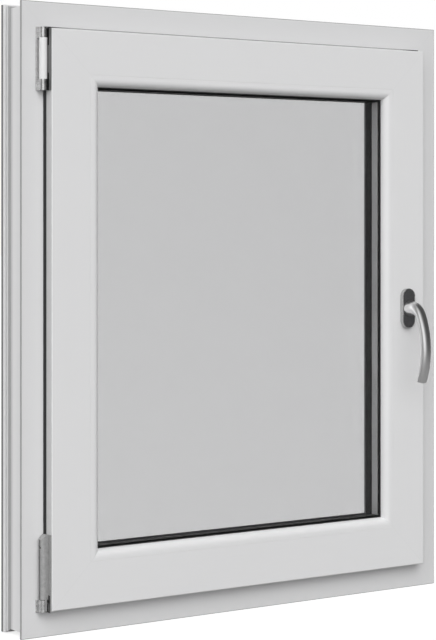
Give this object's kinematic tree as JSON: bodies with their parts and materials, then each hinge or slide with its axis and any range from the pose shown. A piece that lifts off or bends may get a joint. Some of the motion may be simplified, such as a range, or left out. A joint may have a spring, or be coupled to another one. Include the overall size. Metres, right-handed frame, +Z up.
{
  "type": "tilt and turn window",
  "caption": "White PVC-U tilt and turn window: outer frame, glazed sash, surface hinges on the left and a lever handle on the right.",
  "frame": {"origin": "middle of the flat underside of the sill, half way through the frame's depth", "axes": "+X to the right seen from the room, +Y to the outside, +Z up; the room is at -Y"},
  "size_m": [0.85, 0.1532, 1],
  "materials": {
    "white_profile": "white PVC-U with a fine satin skin",
    "black_seal": "black rubber lip, dull",
    "glass": "clear float glass",
    "spacer_grey": "mid grey spacer bar",
    "spacer_black": "black spacer bar",
    "hinge_zinc": "zinc plated steel, lightly mottled",
    "hinge_pin": "turned steel",
    "hinge_sleeve": "white moulded plastic",
    "handle_satin": "satin anodised aluminium",
    "rosette_dark": "dark grey, finely textured",
    "drain_cap": "white moulded plastic",
    "guard_black": "dull black plastic"
  },
  "bodies": {
    "window": {"frame_sill": "white_profile", "frame_head": "white_profile", "frame_jamb_hinge_side": "white_profile", "frame_jamb_lock_side": "white_profile", "drain_cap_left": "drain_cap", "drain_cap_right": "drain_cap", "frame_stop_seal": "black_seal", "sash_bottom_rail": "white_profile", "sash_top_rail": "white_profile", "sash_stile_hinge_side": "white_profile", "sash_stile_lock_side": "white_profile", "sash_overlap_seal": "black_seal", "bead_bottom": "white_profile", "bead_top": "white_profile", "bead_hinge_side": "white_profile", "bead_lock_side": "white_profile", "bead_seal": "black_seal", "outer_glazing_seal": "black_seal", "glass_room_pane": "glass", "glass_middle_pane": "glass", "glass_outer_pane": "glass", "spacer_room_side": "spacer_grey", "spacer_outer_side": "spacer_black", "stay_bearing": "hinge_zinc", "stay_pin": "hinge_pin", "stay_sleeve": "hinge_sleeve", "stay_arm": "hinge_zinc", "pivot_rest": "hinge_zinc", "corner_hinge": "hinge_zinc", "corner_pin": "hinge_pin", "stay_guard_upper": "guard_black", "stay_guard_lower": "guard_black", "handle_rosette": "handle_satin", "handle_rosette_cover": "rosette_dark"},
    "handle": {"handle_lever": "handle_satin", "handle_spindle": "hinge_pin"}
  },
  "joints": [
    {"name": "handle_turn", "type": "hinge", "parent": "window", "child": "handle", "pos_m": [0.342, -0.064, 0.492], "axis": [0, 1, 0], "range_deg": [0, 180]}
  ]
}
